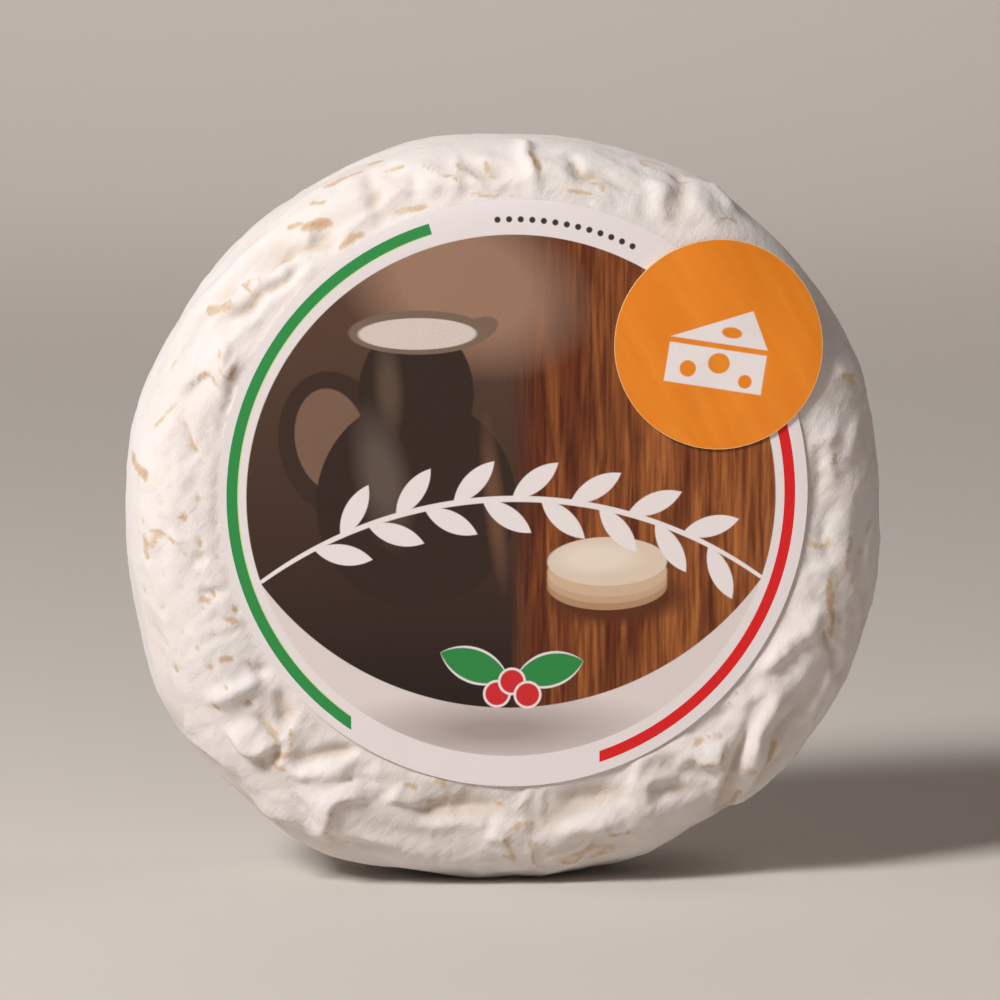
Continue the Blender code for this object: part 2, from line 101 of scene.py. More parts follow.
# Each mark: half width and height in mm, how tan it is, and its places (right, up) in mm on a sheet
# held square to the line of sight. A flap stands up on the left of its line. Where the white mould
# is rubbed away, only the tan skin shows.
MARKS = (
    # upper left
    valley(0.9, 1.3, 0.5, (-42.0, 28.6), (-36.8, 32.1), (-33.7, 34.0), (-28.1, 37.4)),
    valley(1.4, 1.2, 0.4, (-38.4, 33.2), (-31.8, 38.6), (-28.0, 40.5), (-22.2, 40.4)),
    ridge(1.5, 0.7, 0.0, (-38.0, 34.0), (-34.0, 36.4), (-30.8, 37.4)),
    valley(1.1, 0.8, 0.0, (-19.8, 51.0), (-18.5, 47.3), (-17.7, 42.4)),
    valley(1.0, 0.6, 0.0, (-12.4, 50.3), (-12.4, 46.4)),
    rubbed(0.8, 0.6, (-25.7, 48.7), (-20.8, 50.6)),
    rubbed(0.6, 0.9, (-19.3, 52.1), (-18.0, 52.2)),
    rubbed(0.6, 0.6, (-16.4, 50.8), (-14.2, 51.1)),
    rubbed(0.5, 0.8, (-28.2, 46.0), (-25.9, 46.3)),
    rubbed(0.5, 0.9, (-31.5, 43.1), (-29.7, 43.5)),
    rubbed(0.9, 0.9, (-29.0, 42.8), (-26.1, 43.3)),
    rubbed(0.8, 0.6, (-15.2, 44.4), (-11.0, 45.1)),
    rubbed(0.6, 0.5, (-3.6, 47.2), (3.3, 47.1)),
    rubbed(0.6, 0.8, (-24.0, 40.2), (-20.6, 41.6)),
    rubbed(0.5, 0.9, (-44.2, 30.6), (-42.1, 30.6)),
    # left
    flap(0.6, 0.8, 0.8, (-44.4, 25.9), (-42.5, 24.1), (-41.9, 21.5), (-40.2, 20.3), (-38.7, 24.9)),
    flap(0.6, 0.8, 0.9, (-47.4, 17.0), (-45.5, 19.7), (-43.4, 20.5), (-41.7, 17.1)),
    valley(0.6, 0.5, 0.5, (-40.2, 20.3), (-40.2, 17.3), (-41.4, 14.4)),
    valley(0.5, 0.4, 0.8, (-47.2, 15.4), (-45.4, 9.6), (-43.0, 8.3)),
    valley(0.5, 0.35, 0.7, (-50.3, 20.0), (-47.0, 26.8)),
    rubbed(0.5, 0.8, (-51.8, 12.9), (-48.4, 16.0)),
    rubbed(0.9, 0.9, (-55.2, 8.0), (-53.0, 5.7)),
    ridge(1.6, 0.6, 0.0, (-51.5, 8.0), (-49.5, 11.5), (-46.4, 13.6)),
    valley(0.5, 0.35, 0.8, (-49.6, -0.2), (-49.6, -3.6), (-49.1, -5.8)),
    valley(0.9, 0.6, 0.0, (-47.4, -7.7), (-43.4, -6.5)),
    valley(0.9, 0.6, 0.0, (-45.8, -12.7), (-40.0, -12.0)),
    rubbed(0.4, 1.0, (-45.1, -13.2), (-43.7, -13.5)),
    rubbed(0.4, 1.0, (-41.5, -21.8), (-40.0, -21.5)),
    rubbed(0.4, 0.9, (-41.2, -16.1), (-40.1, -16.3)),
    # top
    ridge(0.9, 1.1, 0.0, (3.1, 56.2), (4.2, 52.5), (5.7, 46.4)),
    valley(1.0, 0.8, 0.5, (6.9, 52.4), (10.6, 53.0), (12.1, 50.1), (15.1, 50.1), (21.0, 47.2)),
    rubbed(0.8, 0.9, (5.0, 53.4), (5.9, 51.2)),
    valley(1.3, 0.7, 0.0, (-6.5, 52.8), (-2.0, 50.8), (2.0, 51.4)),
    # upper right
    ridge(1.5, 0.9, 0.0, (23.3, 49.0), (23.8, 45.5), (24.0, 41.9)),
    valley(1.5, 0.9, 0.2, (26.2, 50.0), (27.0, 46.0), (27.4, 43.5)),
    ridge(1.5, 0.7, 0.0, (30.4, 48.6), (32.4, 45.4), (34.0, 42.6)),
    valley(1.3, 0.7, 0.0, (33.4, 47.4), (36.2, 43.9), (38.0, 41.4)),
    rubbed(0.6, 0.8, (25.3, 49.2), (27.4, 48.3)),
    # right
    flap(0.8, 0.4, 0.8, (48.3, 20.9), (50.2, 19.2), (52.8, 18.3)),
    ridge(0.8, 0.5, 0.2, (53.4, 20.0), (53.3, 17.9), (52.8, 13.8), (52.1, 9.7), (52.1, 4.9)),
    valley(0.5, 0.4, 0.6, (54.0, 20.0), (54.9, 14.0), (55.3, 8.0), (55.2, 2.0)),
    valley(0.4, 0.5, 0.8, (49.6, 25.1), (51.0, 23.5)),
    ridge(1.2, 0.6, 0.0, (49.6, 14.4), (48.8, 9.0), (49.6, 3.4)),
    valley(0.5, 0.4, 0.7, (55.4, 1.6), (55.0, -2.0), (53.6, -5.8), (52.2, -8.8)),
    valley(1.0, 0.7, 0.0, (50.6, 2.4), (48.4, -2.6), (48.8, -8.0)),
    rubbed(0.7, 0.7, (52.0, -3.9), (51.3, -8.1)),
    rubbed(0.4, 1.4, (52.0, -9.4), (51.7, -10.2)),
    rubbed(0.6, 0.7, (48.5, -10.4), (48.9, -18.4)),
    ridge(2.2, 1.0, 0.0, (48.2, -13.6), (46.6, -15.8), (44.4, -17.6)),
    valley(0.6, 0.9, 1.0, (47.8, -15.8), (48.2, -18.8), (49.0, -21.1), (49.5, -23.6)),
    valley(0.8, 0.8, 0.5, (52.6, -19.8), (49.2, -24.8), (46.9, -30.2), (44.5, -34.8)),
    rubbed(0.5, 1.3, (47.4, -30.3), (49.1, -28.7)),
    # lower right
    ridge(1.5, 1.9, 0.0, (42.9, -24.0), (40.2, -28.3), (37.8, -33.4), (35.9, -39.4)),
    valley(1.2, 1.5, 0.0, (38.9, -26.6), (37.3, -31.3), (35.0, -36.7), (33.8, -41.4), (33.4, -45.9)),
    valley(1.0, 0.8, 0.0, (45.6, -24.0), (43.2, -29.5), (41.0, -33.6), (38.4, -37.8)),
    ridge(1.2, 0.9, 0.0, (49.6, -22.4), (47.0, -27.6), (44.2, -32.4)),
    ridge(1.0, 1.0, 0.0, (47.9, -16.0), (44.0, -18.8), (40.0, -22.3), (37.8, -25.2)),
    ridge(1.1, 0.8, 0.0, (32.2, -36.2), (33.0, -39.5), (32.0, -44.2)),
    flap(0.8, 1.3, 0.6, (26.4, -39.4), (28.7, -37.1), (30.3, -37.9), (32.2, -37.1), (33.0, -32.6)),
    rubbed(0.6, 0.6, (29.2, -35.2), (30.0, -34.0)),
    rubbed(0.5, 0.6, (30.9, -33.4), (32.4, -33.0)),
    rubbed(0.8, 0.7, (38.3, -39.0), (40.6, -34.5)),
    valley(0.6, 0.7, 1.3, (35.5, -39.9), (35.0, -43.4), (34.1, -45.8)),
    valley(1.4, 0.9, 0.0, (22.0, -43.6), (26.4, -42.0), (30.0, -42.8)),
    ridge(1.2, 0.7, 0.0, (19.6, -41.6), (23.8, -40.2), (27.6, -40.6)),
    # bottom
    ridge(1.8, 0.8, 0.0, (-1.6, -47.0), (2.0, -47.9), (5.5, -48.2)),
    valley(1.3, 0.9, 0.0, (-14.8, -45.6), (-10.0, -45.2), (-4.3, -44.9), (0.5, -45.4)),
    valley(1.8, 0.9, 0.0, (8.0, -44.5), (14.0, -42.8), (20.5, -44.4)),
    ridge(0.8, 0.5, 0.0, (-1.8, -48.8), (-0.3, -49.5), (1.2, -49.7)),
    ridge(1.2, 0.7, 0.0, (8.0, -48.6), (13.0, -47.8), (18.5, -47.0)),
    rubbed(0.5, 0.9, (-13.5, -41.2), (-12.7, -41.4)),
    rubbed(0.4, 0.9, (-10.5, -44.0), (-9.6, -44.2)),
    rubbed(0.4, 0.9, (-8.4, -43.7), (-7.8, -43.8)),
    rubbed(0.5, 0.8, (-4.4, -41.2), (-3.6, -41.3)),
    rubbed(0.5, 0.8, (-0.3, -44.0), (0.6, -44.1)),
    # lower left
    ridge(1.3, 1.1, 0.0, (-43.9, -28.1), (-39.8, -27.4), (-34.3, -24.8)),
    valley(1.2, 1.0, 0.0, (-36.8, -24.9), (-35.4, -23.6), (-33.6, -22.5)),
    valley(1.1, 0.9, 0.0, (-32.4, -26.2), (-31.2, -29.7), (-31.6, -32.3)),
    valley(0.5, 0.7, 1.0, (-37.0, -29.4), (-34.3, -32.4), (-31.4, -34.2)),
    flap(0.8, 1.5, 0.1, (-41.0, -31.4), (-39.0, -33.8), (-36.3, -36.2), (-33.1, -34.9), (-31.6, -33.8)),
    valley(1.1, 1.1, 0.0, (-36.9, -37.8), (-34.7, -37.0), (-32.8, -36.4), (-31.4, -37.0)),
    valley(1.3, 1.2, 0.0, (-31.4, -36.4), (-26.9, -36.7), (-22.2, -35.2), (-19.6, -34.2)),
    ridge(1.1, 1.2, 0.0, (-31.8, -37.9), (-27.7, -38.8), (-23.0, -37.7), (-19.6, -36.2)),
    valley(0.5, 0.5, 0.6, (-25.3, -40.0), (-20.3, -39.5), (-15.4, -40.8)),
    flap(0.8, 1.4, 0.5, (-25.2, -49.8), (-24.6, -46.1), (-24.2, -43.4), (-22.4, -42.5), (-17.2, -42.7)),
    flap(0.7, 0.9, 0.6, (-17.6, -42.6), (-16.0, -43.8), (-12.1, -44.4), (-11.4, -46.0)),
    rubbed(0.4, 0.7, (-24.8, -46.6), (-24.9, -48.8)),
    valley(0.6, 0.6, 0.3, (-31.4, -41.6), (-28.5, -43.7), (-25.9, -46.9)),
    flap(0.7, 0.9, 0.9, (-45.4, -28.4), (-45.6, -32.6), (-43.3, -34.8), (-41.0, -36.7), (-39.3, -39.9)),
    flap(0.7, 0.8, 0.6, (-36.2, -43.2), (-31.6, -44.9), (-28.9, -46.3)),
)

# The weave of the draining cloth left staggered pits down the left of the face and the rim.
PIT_ROWS, PIT_COLUMNS = 12, 4
PIT_TOP, PIT_PITCH_UP = 1.5, 2.75
PIT_LEFT, PIT_PITCH_RIGHT = -56.0, 5.4
PIT_LENGTH, PIT_DEPTH, PIT_JITTER = 0.75 * MM, 0.42 * MM, 0.5
PIT_SLIMNESS, PIT_TAN, PIT_SHALLOWEST = 0.7, 0.6 * MM, 0.5
PIT_SLANT, PIT_OUTERMOST, PIT_SEED = np.array([0.35, 0.0, -0.94]), 55.3, 4


def rise(value, start, end):
    """0 below start, 1 above end, and a smooth climb between."""
    t = np.clip((value - start) / (end - start), 0.0, 1.0)
    return t * t * (3.0 - 2.0 * t)


def face_depth(radius):
    """How far the smooth rind lies from the mid-plane at this radius."""
    out = np.clip((radius - (WHEEL_RADIUS - RIM_REACH)) / RIM_REACH, 0.0, 1.0)
    return HALF_THICKNESS * (1.0 - out**RIM_POWER) ** (1.0 / RIM_POWER)


def read_points(piece):
    points = np.empty(len(piece.data.vertices) * 3)
    piece.data.vertices.foreach_get("co", points)
    return points.reshape(-1, 3)


def write_points(piece, points):
    piece.data.vertices.foreach_set("co", points.astype(np.float32).ravel())
    piece.data.update()


def outline_offset(angle):
    knots = np.array(OUTLINE_STANDS_OUT) * MM
    place = (angle / (2 * math.pi) * len(knots)) % len(knots)
    first = np.floor(place).astype(int)
    t = place - first
    p0, p1, p2, p3 = (knots[(first + k) % len(knots)] for k in (-1, 0, 1, 2))
    rough = 2 * p1 + (p2 - p0) * t + (2 * p0 - 5 * p1 + 4 * p2 - p3) * t**2
    return 0.5 * (rough + (3 * p1 - p0 - 3 * p2 + p3) * t**3)


def rind_normals(points):
    radius = np.hypot(points[:, 0], points[:, 2])
    out = np.clip((radius - (WHEEL_RADIUS - RIM_REACH)) / RIM_REACH, 0.0, 1.0)
    along = np.clip(np.abs(points[:, 1]) / HALF_THICKNESS, 0.0, 1.0)
    outward = out ** (RIM_POWER - 1) / RIM_REACH
    facing = np.sign(points[:, 1]) * along ** (RIM_POWER - 1) / HALF_THICKNESS
    safe = np.maximum(radius, 1e-9)
    normals = np.stack([outward * points[:, 0] / safe, facing, outward * points[:, 2] / safe], 1)
    return normals / np.linalg.norm(normals, axis=1, keepdims=True)


def sight_axes():
    """Right, up and towards the eye, for the sheet that the folds are drawn on."""
    turn, climb = SIGHT_TURN, SIGHT_RISE
    right = np.array([math.cos(turn), math.sin(turn), 0.0])
    eye = [math.sin(turn) * math.cos(climb), -math.cos(turn) * math.cos(climb), math.sin(climb)]
    eye = np.array(eye)
    return right, np.cross(eye, right), eye


def on_rind(place):
    """The point of the labelled side's smooth rind that lies behind this place on the sheet."""
    right, up, eye = sight_axes()
    towards = HALF_THICKNESS
    for _ in range(SIGHT_STEPS):
        flat = (place[0] * right + place[1] * up) * MM * (1 - towards / SIGHT_DISTANCE)
        point = flat + towards * eye
        radius = min(math.hypot(point[0], point[2]), WHEEL_RADIUS - 0.3 * MM)
        towards += SIGHT_STEP_SHARE * (face_depth(radius) + point[1])
    return point


def smooth_line(places):
    """Points on the rind along a smooth curve through the places."""
    knots = np.array([on_rind(place) for place in places])
    knots = np.vstack([2 * knots[0] - knots[1], knots, 2 * knots[-1] - knots[-2]])
    line = []
    for i in range(1, len(knots) - 2):
        p0, p1, p2, p3 = knots[i - 1 : i + 3]
        for t in np.linspace(0.0, 1.0, LINE_STEPS + 1)[:-1]:
            bend = (2 * p0 - 5 * p1 + 4 * p2 - p3) * t**2 + (3 * p1 - p0 - 3 * p2 + p3) * t**3
            line.append(0.5 * (2 * p1 + (p2 - p0) * t + bend))
    line.append(knots[-2])
    return np.array(line)


def beside_line(points, line):
    """For each point: distance from the line, signed distance to its left, and share of its run."""
    best = np.full(len(points), np.inf)
    left = np.zeros(len(points))
    share = np.zeros(len(points))
    run = np.concatenate([[0.0], np.cumsum(np.linalg.norm(np.diff(line, axis=0), axis=1))])
    for i in range(len(line) - 1):
        step = line[i + 1] - line[i]
        length = np.linalg.norm(step)
        t = np.clip((points - line[i]) @ step / length**2, 0.0, 1.0)
        away = points - (line[i] + t[:, None] * step)
        distance = np.linalg.norm(away, axis=1)
        outward = rind_normals(line[i : i + 1])[0]
        side = away @ np.cross(outward, step / length)
        nearer = distance < best
        best[nearer] = distance[nearer]
        left[nearer] = side[nearer]
        share[nearer] = (run[i] + t[nearer] * length) / run[-1]
    return best, left, share


def tan_within(distance, half_width, tanned):
    """How tan a mark leaves each point: it falls evenly outwards, past 0.45 at the mark's edge."""
    strength = 0.5 + 0.5 * tanned if tanned else 0.0
    return strength * np.clip(0.5 + (half_width - distance) / (2 * TAN_SLOPE), 0.0, 1.0)


def mark_relief(points):
    """The height that the marks add at each point, and how tan they leave it."""
    height = np.zeros(len(points))
    tan = np.zeros(len(points))
    for kind, width, rises, tanned, places in MARKS:
        line = smooth_line(places)
        reach = MARK_REACH * width
        near = np.flatnonzero(
            ((points > line.min(0) - reach) & (points < line.max(0) + reach)).all(axis=1)
        )
        distance, left, share = beside_line(points[near], line)
        ends = rise(share, 0.0, END_FADE) * rise(1.0 - share, 0.0, END_FADE)
        if kind == "rubbed":
            tan[near] = np.maximum(tan[near], tan_within(distance, width, tanned))
            continue
        if kind == "ridge":
            height[near] += rises * ends * np.exp(-((distance / width) ** 2))
        else:
            plate = rise(left, -width * FLAP_EDGE, width * FLAP_EDGE)
            plate = plate * np.exp(-((distance / (FLAP_SPREAD * width)) ** 2))
            height[near] += rises * ends * plate
        streak = ends * tan_within(distance, TAN_LEAST + TAN_SHARE * width, tanned)
        tan[near] = np.maximum(tan[near], streak)
    return height, tan


def cloth_pits(points):
    """The height that the cloth pits take away, and how tan they are."""
    height = np.zeros(len(points))
    tan = np.zeros(len(points))
    draw = random.Random(PIT_SEED)
    for row in range(PIT_ROWS):
        for column in range(PIT_COLUMNS):
            right = PIT_LEFT + PIT_PITCH_RIGHT * (column + 0.5 * (row % 2))
            right += draw.uniform(-PIT_JITTER, PIT_JITTER)
            up = PIT_TOP - PIT_PITCH_UP * row + draw.uniform(-PIT_JITTER, PIT_JITTER)
            deep = draw.uniform(PIT_SHALLOWEST, 1.0)
            if math.hypot(right, up) > PIT_OUTERMOST:
                continue
            away = points - on_rind((right, up))
            along = away @ PIT_SLANT
            across = np.sqrt(np.maximum((away**2).sum(axis=1) - along**2, 0.0))
            out = np.hypot(along, across / PIT_SLIMNESS)
            height -= PIT_DEPTH * deep * np.exp(-((out / PIT_LENGTH) ** 2))
            tan = np.maximum(tan, tan_within(out, PIT_TAN, deep))
    return height, tan


def crest(pattern):
    """A slightly rounded crest wherever the noise crosses zero."""
    return CREST_LEVEL - np.sqrt(pattern**2 + ROUND_CREST**2)


def wrinkle_relief(points):
    """Swellings and sharp-crested wrinkles, drawn out round the wheel, and their tan lines."""
    radius = np.hypot(points[:, 0], points[:, 2])
    across = points[:, 1] + np.sign(points[:, 1]) * (WHEEL_RADIUS - radius)
    along = np.stack([points[:, 0] / STRETCH, across, points[:, 2] / STRETCH], 1)
    swell, wrinkle, crumple, pucker, patch = (np.zeros(len(points)) for _ in range(5))
    for i, (point, drawn_out) in enumerate(zip(points, along)):
        place = Vector(point)
        swell[i] = noise.noise(place / SWELL_SIZE + SWELL_AT)
        bend = WARP * noise.noise_vector(place / WRINKLE_SIZE + BEND_AT)
        bent = Vector(drawn_out) + bend
        wrinkle[i] = noise.noise(bent / WRINKLE_SIZE + WRINKLE_AT)
        crumple[i] = noise.noise((place + bend) / CRUMPLE_SIZE + CRUMPLE_AT)
        pucker[i] = noise.noise((place + bend) / PUCKER_SIZE + PUCKER_AT)
        patch[i] = noise.noise(place / WRINKLE_SIZE + PATCH_AT)
    sectors = len(WRINKLED_ROUND)
    turn = np.arctan2(points[:, 2], points[:, 0]) / (2 * math.pi) * sectors
    strong = np.interp(turn, range(sectors), WRINKLED_ROUND, period=sectors)
    rim = 1.0 - RIM_CALM * rise(radius, RIM_CALM_FROM, WHEEL_RADIUS)
    calm = rise(radius, 0.0, MIDDLE_FADE) * rim * strong
    crests = WRINKLE_HEIGHT * crest(wrinkle)
    crumpled = CRUMPLED_LEAST + rise(patch, CRUMPLED_FROM, CRUMPLED_TO)
    folds = CRUMPLE_HEIGHT * crumpled * crest(crumple)
    fine = PUCKER_HEIGHT * crest(pucker)
    height = SWELL_HEIGHT * swell + (crests + folds + fine) * calm
    lined = np.clip(LINE_TAN - LINE_SLOPE * np.abs(crumple), 0.0, 1.0)
    return height, lined * rise(patch, LINED_FROM, LINED_TO)


def bed_relief(points):
    """The fuller rim under the outer half of the sticker."""
    angle = np.arctan2(points[:, 2], points[:, 0])
    beyond = np.maximum(np.maximum(BED_FROM - angle, angle - BED_TO), 0.0) * BED_RADIUS
    away = np.hypot(np.hypot(points[:, 0], points[:, 2]) - BED_RADIUS, beyond)
    return np.where(points[:, 1] < 0, BED_HEIGHT * np.exp(-((away / BED_WIDTH) ** 2)), 0.0)


def clear_of_paper(points):
    """0 under the label and sticker, and 1 well away from them."""
    on_label = np.hypot(points[:, 0] - LABEL_RIGHT, points[:, 2] - LABEL_UP) - LABEL_RADIUS
    on_sticker = np.hypot(points[:, 0] - STICKER_RIGHT, points[:, 2] - STICKER_UP) - STICKER_RADIUS
    outside = np.minimum(on_label, on_sticker)
    return np.where(points[:, 1] < 0, rise(outside, -PAPER_TUCK, RELIEF_FADE), 1.0)


# The half section is half a circle, stretched to the wheel's profile: close rings where the rind
# shows in front and round the rim, and wide ones under the label and across the back.
STEPS_ROUND = 560
FINE_FROM_RADIUS = 36.0 * MM
HIDDEN_RINGS, FINE_RINGS, BACK_RINGS = 5, 130, 30
PROFILE_POINTS = 600
WELD = 0.000001


def half_section():
    """Radii and depths of the rings, from the middle of the face over the rim to the back's."""
    turn = np.linspace(0.0, math.pi / 2, PROFILE_POINTS)
    power = 2.0 / RIM_POWER
    radius = WHEEL_RADIUS - RIM_REACH + RIM_REACH * np.sin(turn) ** power
    depth = HALF_THICKNESS * np.cos(turn) ** power
    radius = np.concatenate([[FINE_FROM_RADIUS], radius, radius[-2::-1], [FINE_FROM_RADIUS]])
    depth = np.concatenate([[HALF_THICKNESS], depth, -depth[-2::-1], [-HALF_THICKNESS]])
    run = np.concatenate([[0.0], np.cumsum(np.hypot(np.diff(radius), np.diff(depth)))])
    stops = np.linspace(0.0, run[-1], FINE_RINGS)
    front = np.linspace(0.0, FINE_FROM_RADIUS, HIDDEN_RINGS + 1)[:-1]
    back = np.linspace(FINE_FROM_RADIUS, 0.0, BACK_RINGS + 1)[1:]
    radii = np.concatenate([front, np.interp(stops, run, radius), back])
    depths = np.interp(stops, run, depth)
    face, far = np.full(len(front), HALF_THICKNESS), np.full(len(back), -HALF_THICKNESS)
    return radii, -np.concatenate([face, depths, far])


radii, depths = half_section()
bpy.ops.object.select_all(action="DESELECT")
bpy.ops.mesh.primitive_circle_add(vertices=2 * (len(radii) - 1), radius=WHEEL_RADIUS)
rind = bpy.context.object
rind.name = "rind"
bpy.ops.object.mode_set(mode="EDIT")
bpy.ops.mesh.select_all(action="DESELECT")
bpy.ops.object.mode_set(mode="OBJECT")
for vertex in rind.data.vertices:
    vertex.select = vertex.co.x < -WELD
bpy.ops.object.mode_set(mode="EDIT")
bpy.ops.mesh.delete(type="VERT")
bpy.ops.object.mode_set(mode="OBJECT")
points = read_points(rind)
order = np.argsort(points[:, 1])
points[order] = np.stack([radii, depths, np.zeros(len(radii))], 1)
write_points(rind, points)
bpy.ops.object.mode_set(mode="EDIT")
bpy.ops.mesh.select_all(action="SELECT")
bpy.ops.mesh.spin(steps=STEPS_ROUND, angle=2 * math.pi, center=(0, 0, 0), axis=(0, 1, 0))
bpy.ops.mesh.select_all(action="SELECT")
bpy.ops.mesh.remove_doubles(threshold=WELD)
bpy.ops.mesh.normals_make_consistent(inside=False)
bpy.ops.object.mode_set(mode="OBJECT")

noise.seed_set(NOISE_SEED)
points = read_points(rind)
normals = rind_normals(points)
clear = clear_of_paper(points)
wander = [noise.noise_vector(Vector(point) / DRAWN_WARP_SIZE) for point in points]
wandered = points + DRAWN_WARP * np.array(wander)
mark_height, mark_tan = mark_relief(wandered)
wrinkle_height, wrinkle_tan = wrinkle_relief(points)
pit_height, pit_tan = cloth_pits(wandered)
relief = (mark_height + wrinkle_height + pit_height) * clear
height = relief + bed_relief(points)
tan = np.maximum(np.maximum(mark_tan, wrinkle_tan), pit_tan) * rise(clear, 0.0, TAN_CLEAR)
# how deep each point lies in a hollow; the rind's colour darkens there, partly thinner mould and partly
# painted shade
hollow = rise(-relief, HOLLOW_FROM, HOLLOW_TO)
angle = np.arctan2(points[:, 2], points[:, 0])
radius = np.hypot(points[:, 0], points[:, 2])
grow = outline_offset(angle) * (radius / WHEEL_RADIUS) ** OUTLINE_FADE_POWER
outward = np.stack([np.cos(angle), np.zeros(len(points)), np.sin(angle)], 1)
points = points + normals * height[:, None] + outward * grow[:, None] + np.array(AXIS)
write_points(rind, points)
for name, values in (("tan", tan), ("hollow", hollow)):
    field = rind.data.attributes.new(name, "FLOAT", "POINT")
    field.data.foreach_set("value", values.astype(np.float32))

# The wheel's own weight has pressed a small flat where it stands.
bpy.ops.object.mode_set(mode="EDIT")
bpy.ops.mesh.select_all(action="SELECT")
bpy.ops.mesh.bisect(
    plane_co=(0, 0, 0), plane_no=(0, 0, 1), use_fill=True, clear_inner=True, threshold=WELD
)
bpy.ops.object.mode_set(mode="OBJECT")
bpy.ops.object.shade_smooth()
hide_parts("cheese")
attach(rind, "root")


def linear(code):
    """An sRGB hex colour as a linear RGBA colour."""
    parts = [int(code[i : i + 2], 16) / 255 for i in (0, 2, 4)]
    return (*[c / 12.92 if c <= 0.04045 else ((c + 0.055) / 1.055) ** 2.4 for c in parts], 1.0)


def add(tree, kind, links=(), **settings):
    """Adds a node with its settings, and feeds its inputs, by number or name, sockets or values."""
    node = tree.nodes.new(kind)
    for name, value in settings.items():
        setattr(node, name, value)
    feeds = links.items() if isinstance(links, dict) else enumerate(links)
    for where, value in feeds:
        if isinstance(value, bpy.types.NodeSocket):
            tree.links.new(value, node.inputs[where])
        elif value is not None:
            node.inputs[where].default_value = value
    return node


def start_material(name, **constants):
    """A material with only a Principled shader, whose constant sockets are set here."""
    material = bpy.data.materials.new(name)
    material.use_nodes = True
    shader = material.node_tree.nodes["Principled BSDF"]
    for socket, value in constants.items():
        shader.inputs[socket.replace("_", " ")].default_value = value
    return material, material.node_tree, shader


# Bloomy rind: a dry felt of white mould, grown in the ripening room and patted flat. It has no
# gloss, scatters light a little below the surface, and is fuzzy at grazing angles. Where it is
# rubbed or split, the tan skin shows.
material, tree, shader = start_material(
    "bloomy mould rind, grown and patted",
    Roughness=0.88,
    IOR=1.42,
    Specular_IOR_Level=0.25,
    Subsurface_Weight=0.12,
    Subsurface_Radius=(1.0, 0.72, 0.5),
    Subsurface_Scale=0.0015,
    Sheen_Weight=0.12,
    Sheen_Roughness=0.6,
)
place = add(tree, "ShaderNodeTexCoord").outputs["Object"]
# white, with cream drifts about 12 mm across, darkening to a warmer cream in the hollows: partly
# thinner mould there and partly painted shade in the recesses
drift = {"Vector": place, "Scale": 85, "Detail": 3, "Roughness": 0.6}
drift = add(tree, "ShaderNodeTexNoise", drift)
drift = add(tree, "ShaderNodeMapRange", (drift.outputs["Fac"], 0.35, 0.7, 0.0, 1.0)).outputs[0]
mould = {0: drift, 6: linear("E5DFDC"), 7: linear("DFD6CF")}
mould = add(tree, "ShaderNodeMix", mould, data_type="RGBA")
hollow_cream_and_shade = add(tree, "ShaderNodeAttribute", attribute_name="hollow").outputs["Fac"]
hollow_cream_and_shade = {0: hollow_cream_and_shade, 6: mould.outputs[2], 7: linear("D2C5B9")}
mould = add(tree, "ShaderNodeMix", hollow_cream_and_shade, data_type="RGBA")
# a mottle about 1.5 mm across makes the edges of the tan marks ragged
mottle = {"Vector": place, "Scale": 700, "Detail": 4, "Roughness": 0.65}
mottle = add(tree, "ShaderNodeTexNoise", mottle)
marked = add(tree, "ShaderNodeAttribute", attribute_name="tan").outputs["Fac"]
ragged = add(tree, "ShaderNodeMath", (mottle.outputs["Fac"], 0.6, marked), operation="MULTIPLY_ADD")
worn = add(tree, "ShaderNodeMapRange", (ragged.outputs[0], 0.68, 0.84, 0.0, 1.0)).outputs[0]
browned = add(tree, "ShaderNodeMapRange", (ragged.outputs[0], 0.8, 1.3, 0.0, 1.0)).outputs[0]
skin = {0: browned, 6: linear("D2BDA4"), 7: linear("B68C66")}
skin = add(tree, "ShaderNodeMix", skin, data_type="RGBA")
colour = {0: worn, 6: mould.outputs[2], 7: skin.outputs[2]}
colour = add(tree, "ShaderNodeMix", colour, data_type="RGBA")
tree.links.new(colour.outputs[2], shader.inputs["Base Color"])
# the felt: patted along a slant in streaks 1 mm wide and 3 mm long, with a nap of 0.2 mm
slant = {"Vector": place, "Rotation": (0, math.radians(-50), 0), "Scale": (3.0, 1.0, 1.0)}
slant = add(tree, "ShaderNodeMapping", slant, vector_type="TEXTURE")
streaks = add(tree, "ShaderNodeTexNoise", {"Vector": slant.outputs[0], "Scale": 900, "Detail": 2})
nap = add(tree, "ShaderNodeTexNoise", {"Vector": place, "Scale": 5000, "Detail": 2})
grain = (nap.outputs["Fac"], 0.5, streaks.outputs["Fac"])
grain = add(tree, "ShaderNodeMath", grain, operation="MULTIPLY_ADD")
felt = {"Strength": 0.6, "Distance": 0.00025, "Height": grain.outputs[0]}
tree.links.new(add(tree, "ShaderNodeBump", felt).outputs[0], shader.inputs["Normal"])
rind.data.materials.append(material)


# The label. A round of coated paper, die cut, printed and glued on the face, a little above its
# middle. It follows the start of the rim, and its edge stands off the rind by its own thickness.
PAPER = 0.3 * MM
LIFT = 0.15 * MM
LABEL_STEPS, LABEL_RING_WIDTHS = 240, (0.6, 1.4, 3.0, 4.0, 6.0, 7.0, 7.0, 7.0)
WAVE_HEIGHT, LABEL_WAVE = 0.12 * MM, 18 * MM


